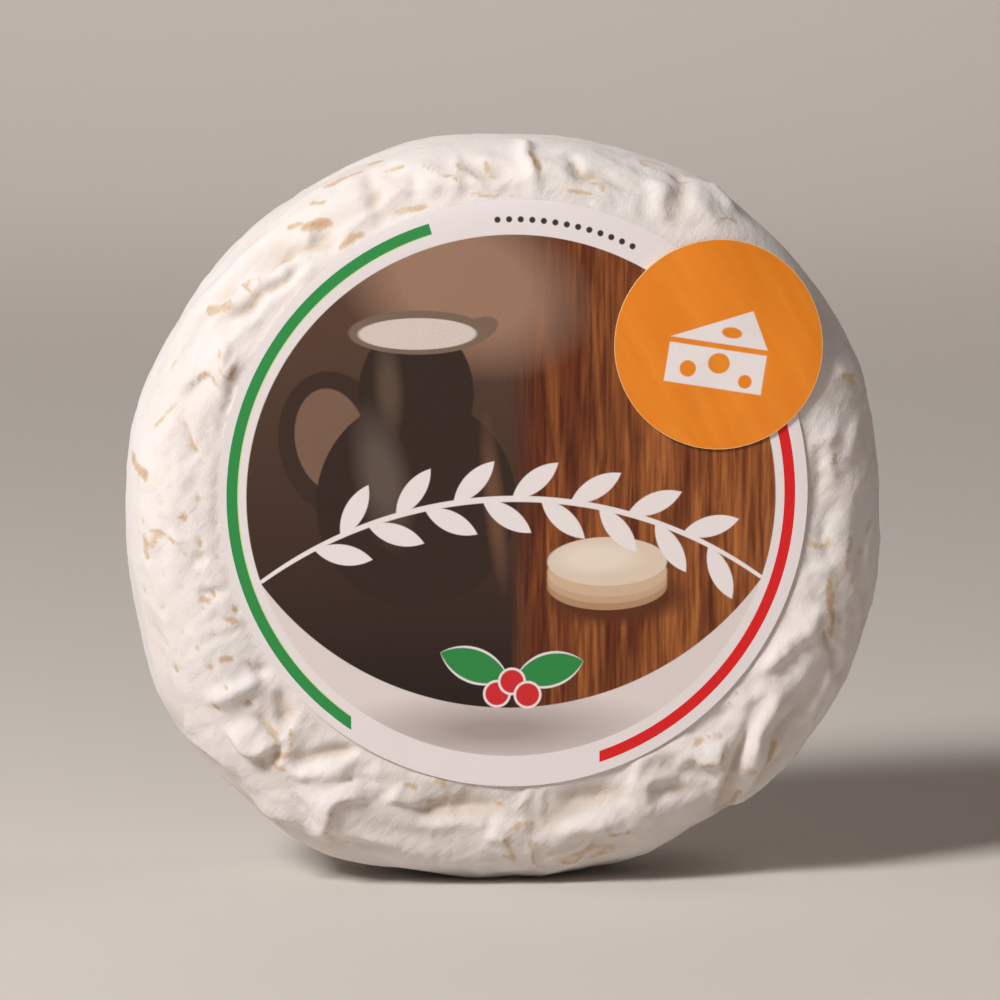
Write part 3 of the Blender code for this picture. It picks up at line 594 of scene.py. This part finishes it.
def round_of_paper(name, radius, steps, ring_widths):
    """A flat round facing -Y about the origin, inset ring by ring so that it can bend."""
    bpy.ops.object.select_all(action="DESELECT")
    bpy.ops.mesh.primitive_circle_add(
        vertices=steps, radius=radius, fill_type="NGON", rotation=(math.radians(90), 0, 0)
    )
    piece = bpy.context.object
    piece.name = name
    bpy.ops.object.transform_apply(rotation=True)
    bpy.ops.object.mode_set(mode="EDIT")
    bpy.ops.mesh.select_all(action="SELECT")
    for width in ring_widths:
        bpy.ops.mesh.inset(thickness=width * MM)
    bpy.ops.mesh.poke()
    bpy.ops.object.mode_set(mode="OBJECT")
    return piece


def thicken(piece):
    """Gives a sheet its thickness, to the back, and shades its faces smooth with a crisp edge."""
    solidify = piece.modifiers.new("Thickness", "SOLIDIFY")
    solidify.thickness = PAPER
    solidify.offset = -1.0
    bpy.ops.object.modifier_apply(modifier=solidify.name)
    bpy.ops.object.shade_smooth_by_angle(angle=math.radians(40))


label = round_of_paper("paper_label", LABEL_RADIUS, LABEL_STEPS, LABEL_RING_WIDTHS)
points = read_points(label) + np.array((LABEL_RIGHT, 0.0, LABEL_UP))
radius = np.hypot(points[:, 0], points[:, 2])
edge = np.hypot(points[:, 0] - LABEL_RIGHT, points[:, 2] - LABEL_UP) / LABEL_RADIUS
wave = [noise.noise(Vector(point) / LABEL_WAVE) for point in points]
points[:, 1] = -(face_depth(radius) + LIFT + PAPER + WAVE_HEIGHT * np.array(wave) * edge)
write_points(label, points + np.array(AXIS))
thicken(label)
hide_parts("label")
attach(label, "root")

# Print on the label, in mm from its middle: (right, up). A brown jug of milk and a small cheese
# stand in front of planks, over a cream foreground, with a white sprig across and a berry twig
# below. The print sits a little left of the paper's middle.
PRINT_SHIFT = Vector((-0.32, 0.0, -0.15)) * MM
DISC_MIDDLE, DISC_HALVES = (0.0, -0.14), (38.75, 38.32)
BAND_INNER, BAND_OUTER, HAIRLINE = 40.05, 41.63, 0.16
GREEN_FROM, GREEN_LEFT_CUT = math.radians(106.9), -23.6
RED_TO, RED_RIGHT_CUT = math.radians(20), 12.9
WOOD_EDGE = (-0.5, 3.5)
PRINT_EDGE = 0.08
PICTURES = (  # colour, middle, half width and height, turn in degrees, soft edge
    ("9C7963", (-7.0, 31.0), (15.0, 10.0), -20, 7.0),
    ("3B2920", (-26.0, 8.0), (8.0, 10.5), 10, 0.2),
    ("7A5E4C", (-26.4, 8.4), (5.2, 7.6), 10, 0.2),
    ("33241C", (-14.0, 15.0), (8.4, 10.5), 0, 0.2),
    ("33241C", (-14.0, -1.0), (14.6, 15.5), 0, 0.2),
    ("5F5148", (-19.0, 3.0), (3.0, 8.0), 12, 3.0),
    ("6B4A36", (-2.6, -1.0), (1.2, 9.5), 6, 1.2),
    ("5A483C", (-18.0, 16.0), (1.6, 5.5), 4, 1.6),
    ("7B6656", (-13.6, 24.0), (10.2, 3.2), 0, 0.15),
    ("7B6656", (-5.2, 24.2), (3.4, 1.7), 24, 0.15),
    ("D9CBC2", (-13.8, 23.8), (8.6, 2.3), 0, 0.15),
    ("5E3018", (15.0, -14.9), (9.8, 4.0), 0, 1.6),
    ("B48D6B", (14.0, -13.4), (8.8, 3.6), 0, 0.15),
    ("C7A587", (14.0, -12.4), (8.8, 3.6), 0, 0.15),
    ("D2B496", (14.0, -11.4), (8.8, 3.6), 0, 0.15),
    ("E0CDB8", (14.0, -9.8), (8.8, 3.6), 0, 0.15),
    ("EADCCB", (12.6, -9.3), (5.6, 2.0), 0, 1.4),
)
FOREGROUND_MIDDLE, FOREGROUND_RADIUS = (0.0, 14.0), 45.3
SHADE_MIDDLE, SHADE_HALVES, SHADE_SOFT = (-2.0, -34.5), (16.0, 3.6), 5.0
SPRIG_RADIUS, SPRIG_MIDDLE, SPRIG_STEM, SPRIG_LOWEST = 62.0, (0.0, -62.0), 0.9, -12.5
SPRIG_TAPER, SPRIG_ROOT_DEPTH = 1.0, 0.5
SPRIG_LEAVES, SPRIG_LEAF, SPRIG_LEAF_WIDTH = 15, 8.6, 1.5
SPRIG_STARTS, SPRIG_SPANS, SPRIG_LEAF_LEANS = 118, 56, 38  # degrees
TWIG = (((-0.5, -27.0), (-10.5, -23.0)), ((0.5, -27.0), (10.5, -24.5)))
TWIG_LEAF_WIDTH, TWIG_RIM = 2.3, 0.35
BERRIES, BERRY_RADIUS = ((-2.2, -29.2), (0.0, -27.4), (2.3, -29.4)), 1.7
DOTS, DOTS_RADIUS, DOT_RADIUS = 13, 40.4, 0.45
DOTS_START, DOTS_PITCH = 93, 2.4  # degrees


def ellipse_mask(tree, place, middle, halves, turn=0.0, soft=0.15):
    """1 inside an ellipse, and 0 outside its soft edge."""
    local = {0: place, 1: (*middle, 0), 2: (0, 0, math.radians(turn)), 3: (*halves, 1)}
    local = add(tree, "ShaderNodeMapping", local, vector_type="TEXTURE").outputs[0]
    out = add(tree, "ShaderNodeVectorMath", (local,), operation="LENGTH").outputs["Value"]
    share = 0.5 * soft / min(halves)
    return add(tree, "ShaderNodeMapRange", (out, 1 - share, 1 + share, 1.0, 0.0)).outputs[0]


def leaf_mask(tree, place, root, tip, half_width):
    """1 inside a pointed leaf, where two circles through its ends overlap."""
    root, tip = Vector((*root, 0)), Vector((*tip, 0))
    half = (tip - root).length / 2
    radius = (half**2 + half_width**2) / (2 * half_width)
    side = (tip - root).normalized().cross(Vector((0, 0, 1))) * (radius - half_width)
    middle = (root + tip) / 2
    near = add(tree, "ShaderNodeVectorMath", (place, middle + side), operation="DISTANCE")
    far = add(tree, "ShaderNodeVectorMath", (place, middle - side), operation="DISTANCE")
    out = (near.outputs["Value"], far.outputs["Value"])
    out = add(tree, "ShaderNodeMath", out, operation="MAXIMUM").outputs[0]
    edge = (out, radius - PRINT_EDGE, radius + PRINT_EDGE, 1.0, 0.0)
    return add(tree, "ShaderNodeMapRange", edge).outputs[0]


def all_of(tree, *masks):
    """1 where every mask is 1."""
    whole = masks[0]
    for mask in masks[1:]:
        whole = add(tree, "ShaderNodeMath", (whole, mask), operation="MULTIPLY").outputs[0]
    return whole


def printed_in_turn(tree, colour, layers):
    """Lays each ink over what is beneath it, where its mask is 1."""
    for mask, ink in layers:
        links = {0: mask, 6: colour, 7: ink}
        colour = add(tree, "ShaderNodeMix", links, data_type="RGBA").outputs[2]
    return colour


def flat_place(tree, middle):
    """(right, up, 0) in mm from this point of the paper, for a pattern printed flat on it."""
    place = add(tree, "ShaderNodeTexCoord").outputs["Object"]
    place = add(tree, "ShaderNodeVectorMath", (place, middle), operation="SUBTRACT").outputs[0]
    place = add(tree, "ShaderNodeVectorMath", {0: place, 3: 1 / MM}, operation="SCALE").outputs[0]
    split = add(tree, "ShaderNodeSeparateXYZ", (place,))
    right, up = split.outputs["X"], split.outputs["Z"]
    return right, up, add(tree, "ShaderNodeCombineXYZ", (right, up, 0.0)).outputs[0]


def paper_weave(tree, flat, shader):
    """The coated paper's fine diagonal weave, 0.3 mm from thread to thread."""
    threads = []
    for turn in (45, -45):
        turned = {"Vector": flat, "Rotation": (0, 0, math.radians(turn))}
        turned = add(tree, "ShaderNodeMapping", turned).outputs[0]
        thread = add(tree, "ShaderNodeTexWave", {"Vector": turned, "Scale": 1.05})
        threads.append(thread.outputs["Fac"])
    height = add(tree, "ShaderNodeMath", threads, operation="ADD").outputs[0]
    links = {"Strength": 0.16, "Distance": 0.00004, "Height": height}
    tree.links.new(add(tree, "ShaderNodeBump", links).outputs[0], shader.inputs["Normal"])


# Label paper: white, coated and lightly embossed, offset printed, so it has a faint even sheen.
material, tree, shader = start_material(
    "coated label paper, offset printed", Roughness=0.5, IOR=1.48, Specular_IOR_Level=0.3
)
print_middle = AXIS + Vector((LABEL_RIGHT, 0.0, LABEL_UP)) + PRINT_SHIFT
right, up, flat = flat_place(tree, print_middle)
radius = add(tree, "ShaderNodeVectorMath", (flat,), operation="LENGTH").outputs["Value"]
bearing = add(tree, "ShaderNodeMath", (up, right), operation="ARCTAN2").outputs[0]
white = linear("EDE4E2")

# planks: fine grain 0.6 mm wide and 11 mm long, over streaks 4 mm wide that lighten to the right
grain = add(tree, "ShaderNodeMapping", {"Vector": flat, "Scale": (1.6, 0.09, 1.0)}).outputs[0]
grain = {"Vector": grain, "Scale": 1.0, "Detail": 4, "Distortion": 0.3}
grain = add(tree, "ShaderNodeTexNoise", grain).outputs["Fac"]
streak = add(tree, "ShaderNodeMapping", {"Vector": flat, "Scale": (0.26, 0.03, 1.0)}).outputs[0]
streak = {"Vector": streak, "Scale": 1.0, "Detail": 2, "Distortion": 0.6}
streak = add(tree, "ShaderNodeTexNoise", streak).outputs["Fac"]
towards_right = add(tree, "ShaderNodeMapRange", (right, 0.0, 38.0, -0.16, 0.14)).outputs[0]
streak = add(tree, "ShaderNodeMath", (streak, towards_right), operation="ADD").outputs[0]
grain = add(tree, "ShaderNodeMapRange", (grain, 0.34, 0.66, 0.0, 1.0)).outputs[0]
streak = add(tree, "ShaderNodeMapRange", (streak, 0.34, 0.68, 0.0, 1.0)).outputs[0]
light_streaks = printed_in_turn(tree, linear("723A15"), [(grain, linear("B56D38"))])
dark_grain = (grain, linear("6F3415"))
colour = printed_in_turn(tree, linear("481B09"), [dark_grain, (streak, light_streaks)])

# the shadowed room on the left, with a soft edge against the planks, and what stands in it
room = add(tree, "ShaderNodeMapRange", (up, -30.0, 26.0, 0.0, 1.0)).outputs[0]
room = printed_in_turn(tree, linear("251712"), [(room, linear("573E31"))])
beside = (right, *WOOD_EDGE, 1.0, 0.0)
layers = [(add(tree, "ShaderNodeMapRange", beside).outputs[0], room)]
for ink, middle, halves, turn, soft in PICTURES:
    layers.append((ellipse_mask(tree, flat, middle, halves, turn, soft), linear(ink)))
colour = printed_in_turn(tree, colour, layers)

# the cream foreground, with a grey shade along its middle
above = ellipse_mask(tree, flat, FOREGROUND_MIDDLE, (FOREGROUND_RADIUS, FOREGROUND_RADIUS))
shade = ellipse_mask(tree, flat, SHADE_MIDDLE, SHADE_HALVES, soft=SHADE_SOFT)
cream = printed_in_turn(tree, linear("E0D5D1"), [(shade, linear("A79A96"))])
layers = [(above, colour)]
colour = cream

# the sprig: a tapering curved stem with pointed leaves on both sides
inside = ellipse_mask(tree, flat, SPRIG_MIDDLE, (SPRIG_RADIUS, SPRIG_RADIUS))
lower = (SPRIG_MIDDLE[0], SPRIG_MIDDLE[1] - SPRIG_TAPER - SPRIG_STEM)
wider = SPRIG_RADIUS + SPRIG_TAPER
beyond = ellipse_mask(tree, flat, lower, (wider, wider))
stem = add(tree, "ShaderNodeMath", (inside, beyond), operation="SUBTRACT", use_clamp=True)
stem = stem.outputs[0]
high = add(tree, "ShaderNodeMath", (up, SPRIG_LOWEST), operation="GREATER_THAN").outputs[0]
layers.append((all_of(tree, stem, high), white))
for i in range(SPRIG_LEAVES):
    lean = math.radians(SPRIG_STARTS - SPRIG_SPANS * i / (SPRIG_LEAVES - 1))
    root = Vector((math.cos(lean), math.sin(lean))) * (SPRIG_RADIUS - SPRIG_ROOT_DEPTH)
    root = root + Vector(SPRIG_MIDDLE)
    point = lean - math.pi / 2 + math.radians(SPRIG_LEAF_LEANS if i % 2 else -SPRIG_LEAF_LEANS)
    tip = root + Vector((math.cos(point), math.sin(point))) * SPRIG_LEAF
    layers.append((leaf_mask(tree, flat, root, tip, SPRIG_LEAF_WIDTH), white))

# the berry twig, each leaf and berry with a white rim
for root, tip in TWIG:
    layers.append((leaf_mask(tree, flat, root, tip, TWIG_LEAF_WIDTH + TWIG_RIM), white))
    layers.append((leaf_mask(tree, flat, root, tip, TWIG_LEAF_WIDTH), linear("2E8A45")))
for berry in BERRIES:
    for size, ink in ((BERRY_RADIUS + TWIG_RIM, white), (BERRY_RADIUS, linear("CF2A2E"))):
        layers.append((ellipse_mask(tree, flat, berry, (size, size)), ink))

# the white border, its green and red arcs, and a row of dark dots at the top
disc = ellipse_mask(tree, flat, DISC_MIDDLE, DISC_HALVES)
border = add(tree, "ShaderNodeMath", (1.0, disc), operation="SUBTRACT").outputs[0]
layers.append((border, linear("E9E1E0")))
past_inner = add(tree, "ShaderNodeMath", (radius, BAND_INNER), operation="GREATER_THAN").outputs[0]
in_outer = add(tree, "ShaderNodeMath", (radius, BAND_OUTER), operation="LESS_THAN").outputs[0]
band = all_of(tree, past_inner, in_outer)
left = add(tree, "ShaderNodeMath", (right, GREEN_LEFT_CUT), operation="LESS_THAN").outputs[0]
in_top = add(tree, "ShaderNodeMath", (up, 0.0), operation="GREATER_THAN").outputs[0]
left = add(tree, "ShaderNodeMath", (left, in_top), operation="MAXIMUM").outputs[0]
in_bottom = add(tree, "ShaderNodeMath", (up, 0.0), operation="LESS_THAN").outputs[0]
started = add(tree, "ShaderNodeMath", (bearing, GREEN_FROM), operation="GREATER_THAN").outputs[0]
started = add(tree, "ShaderNodeMath", (started, in_bottom), operation="MAXIMUM").outputs[0]
layers.append((all_of(tree, band, left, started), linear("2F8F48")))
near = (radius, BAND_INNER - HAIRLINE)
near = add(tree, "ShaderNodeMath", near, operation="GREATER_THAN").outputs[0]
within = add(tree, "ShaderNodeMath", (radius, BAND_INNER), operation="LESS_THAN").outputs[0]
layers.append((all_of(tree, near, within, left, started), linear("CFDC9E")))
far_right = add(tree, "ShaderNodeMath", (right, RED_RIGHT_CUT), operation="GREATER_THAN").outputs[0]
low = add(tree, "ShaderNodeMath", (bearing, RED_TO), operation="LESS_THAN").outputs[0]
layers.append((all_of(tree, band, far_right, low), linear("DE1D20")))
for i in range(DOTS):
    lean = math.radians(DOTS_START - DOTS_PITCH * i)
    dot = (DOTS_RADIUS * math.cos(lean), DOTS_RADIUS * math.sin(lean))
    layers.append((ellipse_mask(tree, flat, dot, (DOT_RADIUS, DOT_RADIUS)), linear("3A3230")))
colour = printed_in_turn(tree, colour, layers)
tree.links.new(colour, shader.inputs["Base Color"])
paper_weave(tree, flat, shader)
label.data.materials.append(material)


# The sticker. A smaller round of the same paper, printed orange, stuck over the label's edge so
# that its outer part reaches over the rim and bends back with it.
STICKER_BENDS_FROM, STICKER_BEND_RADIUS = 45.0 * MM, 26.0 * MM
STICKER_STEPS, STICKER_RING_WIDTHS = 128, (0.5, 1.2, 2.0, 2.5, 3.0, 3.0)
STICKER_WAVE, ABOVE_LABEL = 7 * MM, 0.1 * MM

sticker = round_of_paper("paper_sticker", STICKER_RADIUS, STICKER_STEPS, STICKER_RING_WIDTHS)
points = read_points(sticker) + np.array((STICKER_RIGHT, 0.0, STICKER_UP))
towards_rim = Vector((STICKER_RIGHT, STICKER_UP)).normalized()
run = points[:, 0] * towards_rim.x + points[:, 2] * towards_rim.y
back = np.maximum(run - STICKER_BENDS_FROM, 0.0) ** 2 / (2 * STICKER_BEND_RADIUS)
wave = [noise.noise(Vector(point) / STICKER_WAVE) for point in points]
height = HALF_THICKNESS + LIFT + 2 * PAPER + ABOVE_LABEL + WAVE_HEIGHT * np.array(wave)
points[:, 1] = back - height
write_points(sticker, points + np.array(AXIS))
thicken(sticker)
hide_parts("sticker")
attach(sticker, "root")

# Sticker paper: the same coated paper under orange ink, with faint lighter bands that are painted
# light on its ripples, and a pale yellow ring along the cut edge: the paper's pale edge, widened by
# a painted highlight where light catches it.
material, tree, shader = start_material(
    "coated sticker paper, printed orange", Roughness=0.5, IOR=1.48, Specular_IOR_Level=0.3
)
CUT_EDGE, CUT_EDGE_SOFT = 0.07, 0.05
WEDGE_TURN, WEDGE_HALF, WEDGE_FRONT = -9, 7.2, (-6.4, -0.6)
WEDGE_TOP, WEDGE_TIP, WEDGE_GAP = 5.6, 3.0, 0.8
HOLES = (  # (right, up, half width, half height) in mm from the sticker's middle
    (-4.0, -4.1, 1.2, 1.2), (0.4, -2.7, 1.6, 1.5), (4.6, -4.8, 1.0, 1.0), (1.6, 2.0, 1.5, 0.8),
)


def corners_mask(tree, place, corners):
    """1 inside a straight-sided shape whose corners run anticlockwise."""
    nearest = None
    for start, end in zip(corners, corners[1:] + corners[:1]):
        along = (Vector(end) - Vector(start)).normalized()
        inward = Vector((-along.y, along.x, 0))
        side = add(tree, "ShaderNodeVectorMath", (place, inward), operation="DOT_PRODUCT")
        side = (side.outputs["Value"], Vector(start) @ inward.xy)
        side = add(tree, "ShaderNodeMath", side, operation="SUBTRACT").outputs[0]
        if nearest is not None:
            side = add(tree, "ShaderNodeMath", (nearest, side), operation="MINIMUM").outputs[0]
        nearest = side
    edge = (nearest, -PRINT_EDGE, PRINT_EDGE, 0.0, 1.0)
    return add(tree, "ShaderNodeMapRange", edge).outputs[0]


sticker_middle = AXIS + Vector((STICKER_RIGHT, 0.0, STICKER_UP))
right, up, flat = flat_place(tree, sticker_middle)
radius = add(tree, "ShaderNodeVectorMath", (flat,), operation="LENGTH").outputs["Value"]
turned = {0: flat, 2: (0, 0, math.radians(-WEDGE_TURN))}
turned = add(tree, "ShaderNodeMapping", turned).outputs[0]
# faint lighter bands 3 mm wide run down to the right through the orange: painted light on the paper's
# ripples
ripple_light_bands = {"Vector": flat, "Rotation": (0, 0, math.radians(-62)), "Scale": (26.0, 3.0, 1.0)}
ripple_light_bands = add(tree, "ShaderNodeMapping", ripple_light_bands, vector_type="TEXTURE").outputs[0]
ripple_light_bands = add(tree, "ShaderNodeTexNoise", {"Vector": ripple_light_bands, "Scale": 1.0, "Detail": 2}).outputs["Fac"]
ripple_light_bands = add(tree, "ShaderNodeMapRange", (ripple_light_bands, 0.42, 0.66, 0.0, 0.8)).outputs[0]
orange = printed_in_turn(tree, linear("EA851E"), [(ripple_light_bands, linear("EE9028"))])
foot, brow = WEDGE_FRONT
front = [(-WEDGE_HALF, foot), (WEDGE_HALF, foot), (WEDGE_HALF, brow), (-WEDGE_HALF, brow)]
top_foot, tip = brow + WEDGE_GAP, WEDGE_HALF - WEDGE_TIP
top = [(-WEDGE_HALF, top_foot), (WEDGE_HALF, top_foot), (tip, WEDGE_TOP)]
layers = [(corners_mask(tree, turned, face), white) for face in (front, top)]
for hole_right, hole_up, half_width, half_height in HOLES:
    hole = ellipse_mask(tree, turned, (hole_right, hole_up), (half_width, half_height))
    layers.append((hole, orange))
# the pale yellow ring along the cut edge: the paper's pale edge, and a painted highlight where light
# catches it
edge = STICKER_RADIUS / MM - CUT_EDGE
edge = (radius, edge - CUT_EDGE_SOFT, edge + CUT_EDGE_SOFT, 0.0, 1.0)
layers.append((add(tree, "ShaderNodeMapRange", edge).outputs[0], linear("F3D196")))
tree.links.new(printed_in_turn(tree, orange, layers), shader.inputs["Base Color"])
paper_weave(tree, flat, shader)
sticker.data.materials.append(material)


# The studio: a pale paper sweep that runs back as floor and then rises, a soft light high on the
# left in front, weak ones in front and high on the right, and one on the paper behind.
SWEEP_WIDTH, SWEEP_BACK, SWEEP_HEIGHT, SWEEP_BEND, SWEEP_STEPS = 8.0, 2.2, 3.0, 0.9, 24
NEAR = 0.01
bpy.ops.object.select_all(action="DESELECT")
bpy.ops.mesh.primitive_plane_add(size=SWEEP_WIDTH, location=(0, SWEEP_BACK - SWEEP_WIDTH / 2, 0))
floor = bpy.context.object
floor.name = "floor"
bpy.ops.object.transform_apply(location=True)
bpy.ops.object.mode_set(mode="EDIT")
bpy.ops.mesh.select_mode(type="EDGE")
bpy.ops.mesh.select_all(action="DESELECT")
bpy.ops.object.mode_set(mode="OBJECT")
for edge in floor.data.edges:
    ends = [floor.data.vertices[i].co.y for i in edge.vertices]
    edge.select = min(ends) > SWEEP_BACK - NEAR
bpy.ops.object.mode_set(mode="EDIT")
bpy.ops.mesh.extrude_region_move(TRANSFORM_OT_translate={"value": (0, 0, SWEEP_HEIGHT)})
bpy.ops.mesh.select_all(action="DESELECT")
bpy.ops.object.mode_set(mode="OBJECT")
for edge in floor.data.edges:
    ends = [floor.data.vertices[i].co for i in edge.vertices]
    at_back = min(end.y for end in ends) > SWEEP_BACK - NEAR
    edge.select = at_back and max(end.z for end in ends) < NEAR
bpy.ops.object.mode_set(mode="EDIT")
bpy.ops.mesh.bevel(offset=SWEEP_BEND, segments=SWEEP_STEPS)
bpy.ops.object.mode_set(mode="OBJECT")
bpy.ops.object.shade_smooth()
# Sweep paper: heavy, uncoated and matt.
sweep_colour = linear("D2CCC5")
material = start_material("matt pale paper sweep", Roughness=0.9, Base_Color=sweep_colour)[0]
floor.data.materials.append(material)


def soft_light(name, azimuth, elevation, distance, size, power, tint):
    """A square soft light that faces the wheel's middle from this side and height, in degrees."""
    turn, climb = math.radians(azimuth), math.radians(elevation)
    level = math.cos(climb)
    away = Vector((math.sin(turn) * level, -math.cos(turn) * level, math.sin(climb)))
    lamp = bpy.data.lights.new(name, "AREA")
    lamp.size = size
    lamp.energy = power
    lamp.color = linear(tint)[:3]
    holder = bpy.data.objects.new(name, lamp)
    bpy.context.scene.collection.objects.link(holder)
    holder.location = AXIS + away * distance
    holder.rotation_euler = away.to_track_quat("Z", "Y").to_euler()


soft_light("key", -50, 38, 1.3, 0.35, 18.6, "FFFDFC")
soft_light("front_fill", 10, 5, 1.8, 1.0, 1.6, "FFE9E4")
soft_light("top_right", 100, 58, 1.3, 0.5, 1.3, "FFF6EE")
soft_light("backdrop", 180, 45, 2.2, 1.4, 15.0, "FFFAF8")
bpy.data.objects["backdrop"].rotation_euler = (math.radians(50), 0, 0)  # up at the rising paper

world = bpy.data.worlds.new("studio")
bpy.context.scene.world = world
world.use_nodes = True
world.node_tree.nodes["Background"].inputs[0].default_value = linear("FFE9E6")
world.node_tree.nodes["Background"].inputs[1].default_value = 0.08
bpy.context.scene.view_settings.view_transform = "Standard"

# The camera looks at the label from a little left and above, through a long lens.
PICTURE = 1000
PIXELS_PER_MM = 6.7
WHEEL_AT = (499, 511)
right, up, eye = (Vector(axis) for axis in sight_axes())
aim = AXIS + right * (PICTURE / 2 - WHEEL_AT[0]) / PIXELS_PER_MM * MM
aim = aim - up * (PICTURE / 2 - WHEEL_AT[1]) / PIXELS_PER_MM * MM
lens = bpy.data.cameras.new("camera")
lens.sensor_width = 36.0
lens.lens = lens.sensor_width * SIGHT_DISTANCE / (PICTURE / PIXELS_PER_MM * MM)
camera = bpy.data.objects.new("camera", lens)
bpy.context.scene.collection.objects.link(camera)
camera.location = aim + eye * SIGHT_DISTANCE
camera.rotation_euler = eye.to_track_quat("Z", "Y").to_euler()
bpy.context.scene.camera = camera
